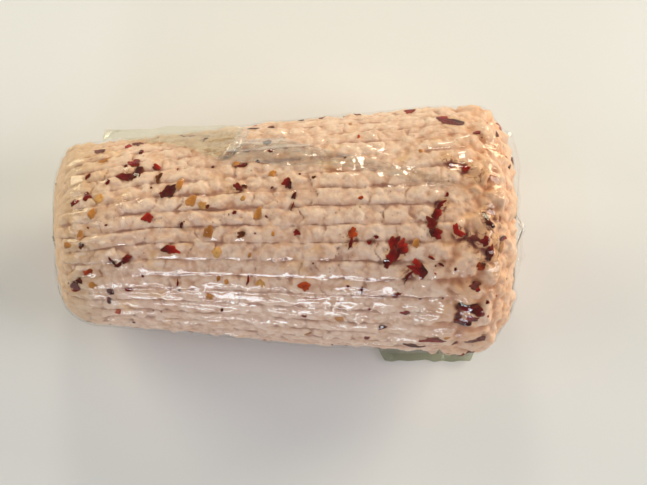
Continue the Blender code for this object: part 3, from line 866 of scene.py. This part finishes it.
def shown_places(rows, grid_points):
    """(length, around) on the loaf of places in the photograph, on the side that faces the camera."""
    columns, lines = picture_places(grid_points)
    ahead = np.array(camera_turn()[2])
    outward = grid_points - np.stack(
        [grid_points[..., 0], 0 * grid_points[..., 1], taper(grid_points[..., 0]) - RESTING_FLAT], axis=-1
    )
    behind = (outward @ ahead < 0) * 1e6
    for row in rows:
        away = (columns - row[0]) ** 2 + (lines - row[1]) ** 2 + behind
        ring, column = np.unravel_index(np.argmin(away), away.shape)
        yield SIDE_RINGS.length[ring], AROUND[column]


def random_places(draw, count, everywhere):
    """Places spread over the loaf, on the sides that the camera doesn't see or everywhere."""
    rings = SIDE_RINGS
    weight = rings.radius * np.gradient(rings.length)
    weight = weight / weight.sum()
    back = camera_turn()[2]
    made = 0
    while made < count:
        ring = draw.choice(len(weight), p=weight)
        around = draw.uniform(0, TURN)
        outward = Vector((
            rings.out_x[ring], rings.out_r[ring] * math.cos(around), rings.out_r[ring] * math.sin(around)
        ))
        if everywhere or outward.dot(back) < HIDDEN_FACING:
            made += 1
            yield rings.length[ring], around


def make_flakes(base, grid_points):
    """(skins, seeds), both as Flakes."""
    skins, seeds = Flakes(base, 30), Flakes(base, 20)
    for flakes, rows, unit, form in ((skins, SKINS, SKIN_UNIT, SKIN_FORM), (seeds, SEEDS, MM, SEED_FORM)):
        for row, (length, around) in zip(rows, shown_places(rows, grid_points)):
            _, _, size, width, turn, shade = row
            flakes.add(length, around, size * unit, width * unit, math.radians(turn), shade, *form)
    draw = np.random.default_rng(RANDOM_SEED)
    for length, around in random_places(draw, HIDDEN_SKINS, False):
        size = draw.gamma(3.0, 1.1) * MM + 1.2 * MM
        width = size * draw.uniform(0.4, 0.8)
        shade = HIDDEN_SHADES[draw.integers(len(HIDDEN_SHADES))]
        skins.add(length, around, size, width, draw.uniform(0, TURN), shade, *SKIN_FORM)
    for length, around in random_places(draw, HIDDEN_SEEDS, False):
        size = draw.uniform(3.2, 4.8) * MM
        shade = SEED_SHADES[draw.integers(len(SEED_SHADES))]
        turn = draw.uniform(0, TURN)
        width = size * draw.uniform(0.6, 0.85)
        seeds.add(length, around, size, width, turn, shade, *SEED_FORM)
    for length, around in random_places(draw, CRUMBS, True):
        size = draw.uniform(0.5, 1.3) * MM
        width = size * draw.uniform(0.4, 0.9)
        shade = HIDDEN_SHADES[draw.integers(len(HIDDEN_SHADES))]
        skins.add(length, around, size, width, draw.uniform(0, TURN), shade, *CRUMB_FORM)
    return skins, seeds


def make_cheese(height, crumbly, marks):
    """The cheese. Marks is where chilli lies, which stains it."""
    points = surface(height, floor=CHEESE_FLOOR)
    all_points, faces = closed_grid(points, *end_points(points))
    made = mesh_object("cheese", all_points.tolist(), faces, cheese_material())
    # How deep each point lies under the bridged surface: the material paints shade into the grooves and crevices
    # by it, and gathers the chilli stain there
    depth = np.clip((bridged(height, 6, 5) - height) / ((1.1 + 1.1 * crumbly) * MM), 0, 1)
    stain = np.clip(blurred(marks, 6) / (0.4 * MM), 0, 1) * 0.6
    # Height over the local mean, for the painted highlight on tops and the painted shade in hollows
    painted_relief_light = np.clip(0.5 + (height - blurred(height, 30)) / (0.7 * MM), 0, 1)
    x = SIDE_RINGS.x[:, None] + 0 * height
    wide_end = np.maximum(crumbly * (x > 0), smooth((x - 50 * MM) / (26 * MM)))
    small_end = smooth((-x - 54 * MM) / (24 * MM))
    for name, grid in (
        ("depth", depth), ("painted_relief_light", painted_relief_light), ("ends", wide_end), ("small_end", small_end), ("stain", stain)
    ):
        point_values(made.data, name, np.append(grid.ravel(), [grid[0].mean(), grid[-1].mean()]))
    return made


def film_height(height, crumbly, rib):
    """The tight film: it bridges the grooves, sags into them and is finely wrinkled lengthwise."""
    taut = blurred(bridged(height, *FILM_BRIDGE), 2)
    sagging = bridged(height, 8, 1)
    for _ in range(26):
        sagging = evened(sagging, 1, 0)
    top = np.maximum(0.2 * taut + 0.8 * blurred(sagging, 1), height)
    x, around = np.broadcast_arrays(SIDE_RINGS.x[:, None], AROUND[None])
    radius = np.broadcast_to(SIDE_RINGS.radius[:, None], x.shape)
    share = rib - np.floor(rib)
    from_slit = np.minimum(share, 1 - share) * TURN * taper(x) / RIBS
    held = smooth(0.55 + 0.9 * waves(x / (8 * MM), np.mod(np.round(rib), RIBS) * 2.9, 0 * x, 58))
    held = held * (1 - smooth(from_slit / FILM_CROWN_REACH))
    top = top + FILM_CROWN * (1 - held) * (1 - crumbly)
    degrees = np.degrees(around)
    below = between(degrees, LOOSE_FROM, LOOSE_TO - 2, 24) * smooth((LENGTH / 2 - x) / (50 * MM))
    across = around * taper(0) / WRINKLE_ACROSS
    lines = waves(x / WRINKLE_ALONG + 0.6 * np.sin(4 * around), across, 0 * x, 51)
    top = top + WRINKLE_RISE * (0.2 + below) * (0.5 + 0.5 * lines)
    loose = between(degrees, LOOSE_FROM, LOOSE_TO, 26)
    creases = waves(x / CREASE_SIZE[0], around * taper(0) / CREASE_SIZE[1], 0 * x, 57)
    top = top + CREASE_RISE * (0.15 + loose + crumbly) * (1 - np.abs(creases)) ** 5
    rim = smooth((np.abs(SIDE_RINGS.x[:, None]) - 76 * MM) / (5 * MM)) * smooth(radius / (30 * MM) - 0.4)
    pleats = np.abs(waves(around * PLEATS_AROUND / TURN, x / (9 * MM), 0 * x, 53))
    top = top + END_PLEAT_RISE * rim * (1 - smooth(pleats / 0.25))
    return top + corners_rise(x, around, radius, FILM_CORNERS) + FILM_GAP


def make_film(top):
    rows = slice(None, None, 2)
    points = surface(top[rows], rows, floor=FILM_FLOOR)
    all_points, faces = closed_grid(points, *end_points(points))
    return mesh_object("film", all_points.tolist(), faces, film_material("film", *TIGHT_FILM))


def line_points(line, share):
    """(x, around, lift) along a line of (x mm, around degrees, lift mm), at shares of its length in x."""
    line = np.array(line)
    at = np.concatenate([[0], np.cumsum(np.hypot(np.diff(line[:, 0]), np.diff(line[:, 1]) * 0.6))])
    x, degrees, lift = (np.interp(share, at / at[-1], line[:, axis]) for axis in range(3))
    return x * MM, np.radians(degrees), lift * MM


def loose_sheet(cover, root, edge, bulge, ripple, steps=90, across=22):
    """(points, faces) of a flattened fold between two lines.

    It runs straight, or over the loaf where that is higher. Bulge and ripple are in millimetres.
    """
    t, s = np.meshgrid(np.linspace(0, 1, steps), np.linspace(0, 1, across), indexing="ij")
    ends = []
    for line in (root, edge):
        x, around, lift = line_points(line, t[:, 0])
        ends.append(cover.point_at(np.interp(x, SIDE_RINGS.x, SIDE_RINGS.length), around, lift))
    chord = ends[0][:, None] * (1 - s[..., None]) + ends[1][:, None] * s[..., None]
    x = chord[..., 0]
    length = np.interp(x, SIDE_RINGS.x, SIDE_RINGS.length)
    rise = chord[..., 2] - taper(x) + RESTING_FLAT
    around = np.arctan2(rise, chord[..., 1])
    under = np.hypot(rise, chord[..., 1]) - np.interp(length, SIDE_RINGS.length, SIDE_RINGS.radius)
    lift = np.maximum(under - cover.height_at(length, around), SHEET_GAP)
    size = ripple * MM
    wavy = waves(t * 5, s * 9 + 2 * t, 0 * t, 61) + 0.5 * waves(t * 12, s * 16 + 5 * t, 0 * t, 62)
    fade = np.sin(math.pi * s) ** 0.5
    upper = lift + bulge * MM * fade + size * fade * wavy
    low = cover.point_at(length, around, lift)
    high = cover.point_at(length, around, np.maximum(upper, lift + 0.05 * MM))
    return sandwich(high, low)


def sandwich(high, low):
    """(points, faces) of two grids closed along their edges."""
    steps, across = high.shape[:2]
    index = np.arange(steps * across).reshape(steps, across)
    quads = np.stack([index[:-1, :-1], index[1:, :-1], index[1:, 1:], index[:-1, 1:]], axis=-1).reshape(-1, 4)
    under = quads[:, ::-1] + steps * across
    loop = np.concatenate([index[:-1, 0], index[-1, :-1], index[:0:-1, -1], index[0, :0:-1]])
    after = np.roll(loop, -1)
    rim = np.stack([loop, loop + steps * across, after + steps * across, after], axis=-1)
    points = np.concatenate([high.reshape(-1, 3), low.reshape(-1, 3)])
    return points, np.concatenate([quads, under, rim])


def make_tail():
    """The film's gathered end, which lies on the table in front of the wide end."""
    t, s = np.meshgrid(np.linspace(0, 1, 90), np.linspace(0, 1, 18), indexing="ij")
    x = (TAIL_SPAN[0] + (TAIL_SPAN[1] - TAIL_SPAN[0]) * t) * MM
    end = smooth(t / 0.12) * smooth((1 - t) / 0.08)
    axis_height = taper(x) - RESTING_FLAT
    root_y = -np.sqrt(np.maximum((taper(x) - 0.4 * MM) ** 2 - (axis_height - TAIL_ROOT_HEIGHT) ** 2, 0))
    edge_y = -TAIL_REACH + (1 - end) * TAIL_CORNERS + 0.5 * MM * waves(t * 12, 0 * t, 0 * t, 71)
    y = root_y + (edge_y - root_y) * s
    z = TAIL_ROOT_HEIGHT + (1.5 * MM - TAIL_ROOT_HEIGHT) * smooth(s * 1.1) ** 0.7
    z = z + 0.55 * MM * waves(t * 16 + 2 * s, s * 2, 0 * t, 72) * s
    gap = 0.5 * MM * np.sin(math.pi * s) + 0.12 * MM
    low = np.stack([x, y, np.maximum(z, 0.15 * MM)], axis=-1)
    high = np.stack([x, y, np.maximum(z + gap, 0.4 * MM)], axis=-1)
    return sandwich(high, low)


def make_folds(top):
    """The loose film: the web, the tube with the long pleat, and the tail."""
    cover = Cover(top)
    web = joined("film_web", [loose_sheet(cover, WEB_ROOT, WEB_EDGE, 0.5, 0.3)], WEB_FILM)
    tail = joined("film_tail", [make_tail()], TAIL_FILM)
    pleat = joined("film_pleat", [
        loose_sheet(cover, *TUBE, 1.7, 0.25, 50, 16),
        loose_sheet(cover, PLEAT_UPPER, PLEAT_LOWER, 0.5, 0.4, 160, 26),
    ], PLEAT_FILM)
    return web, pleat, tail


def joined(name, parts, finish):
    """One piece of loose film from several sheets."""
    points, faces, first = [], [], 0
    for part_points, part_faces in parts:
        points.append(part_points)
        faces += (part_faces + first).tolist()
        first += len(part_points)
    made = mesh_object(name, np.concatenate(points).tolist(), faces, film_material(name, *finish))
    work = bmesh.new()
    work.from_mesh(made.data)
    bmesh.ops.recalc_face_normals(work, faces=work.faces)
    work.to_mesh(made.data)
    work.free()
    return made


def place_camera():
    data = bpy.data.cameras.new("camera")
    data.lens = CAMERA_LENS
    data.sensor_width = SENSOR_WIDTH
    data.clip_start = 0.01
    camera = bpy.data.objects.new("camera", data)
    bpy.context.scene.collection.objects.link(camera)
    right, up, back = camera_turn()
    turn = Matrix((right, up, back)).transposed().to_4x4()
    camera.matrix_world = Matrix.Translation(CAMERA_AIM + back * CAMERA_DISTANCE) @ turn
    bpy.context.scene.camera = camera


def add_light(name, place, size, energy, colour):
    """A soft oval light that faces the loaf's middle."""
    data = bpy.data.lights.new(name, "AREA")
    data.shape = "ELLIPSE"
    data.size, data.size_y = size
    data.energy = energy
    data.color = colour
    light = bpy.data.objects.new(name, data)
    light.location = place
    facing = Vector((0, 0, 0.04)) - Vector(place)
    light.rotation_euler = facing.to_track_quat("-Z", "Y").to_euler()
    bpy.context.scene.collection.objects.link(light)


def set_light():
    for light in LIGHTS:
        add_light(*light)
    world = bpy.data.worlds.new("world")
    world.use_nodes = True
    background = world.node_tree.nodes["Background"]
    background.inputs["Color"].default_value = WORLD_COLOUR
    background.inputs["Strength"].default_value = WORLD_STRENGTH
    bpy.context.scene.world = world
    bpy.context.scene.view_settings.view_transform = "Standard"


def make_floor():
    bpy.ops.mesh.primitive_plane_add(size=6, location=(0, 0, -0.0002))
    floor = bpy.context.object
    floor.name = "floor"
    n = Nodes("floor")
    n.set(Base_Color=FLOOR_COLOUR, Roughness=0.6)
    floor.data.materials.append(n.material)


def hand_over(piece):
    """Hides the CAD part that a piece stands in for, and attaches the piece to the body it moves with."""
    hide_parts(NODE)
    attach(piece, BODY)


def main():
    place_camera()
    height, crumbly, rib = cheese_height()
    base = blurred(bridged(height, 3, 3), 2)
    grid_points = surface(base)
    skins, seeds = make_flakes(base, grid_points)
    stains = Flakes(base, 3)
    for row, (length, around) in zip(STAINS, shown_places(STAINS, grid_points)):
        stains.mark(length, around, row[2] * MM, STAIN_LIFT)
    marks = skins.bumps + 0.25 * seeds.bumps + stains.bumps
    pressed = np.minimum(height, base + CHEESE_UNDER)
    height = np.where(skins.bumps + seeds.bumps > CHILLI_FROM, pressed, height)
    cheese = make_cheese(height, crumbly, marks)
    covered = np.maximum(height, base + FILM_OVER * np.maximum(skins.bumps, seeds.bumps))
    top = film_height(covered, crumbly, rib)
    hand_over(cheese)
    hand_over(skins.build("chilli_skins", chilli_material()))
    hand_over(seeds.build("chilli_seeds", seed_material()))
    hand_over(make_film(top))
    for folds in make_folds(top):
        hand_over(folds)
    make_floor()
    set_light()


main()
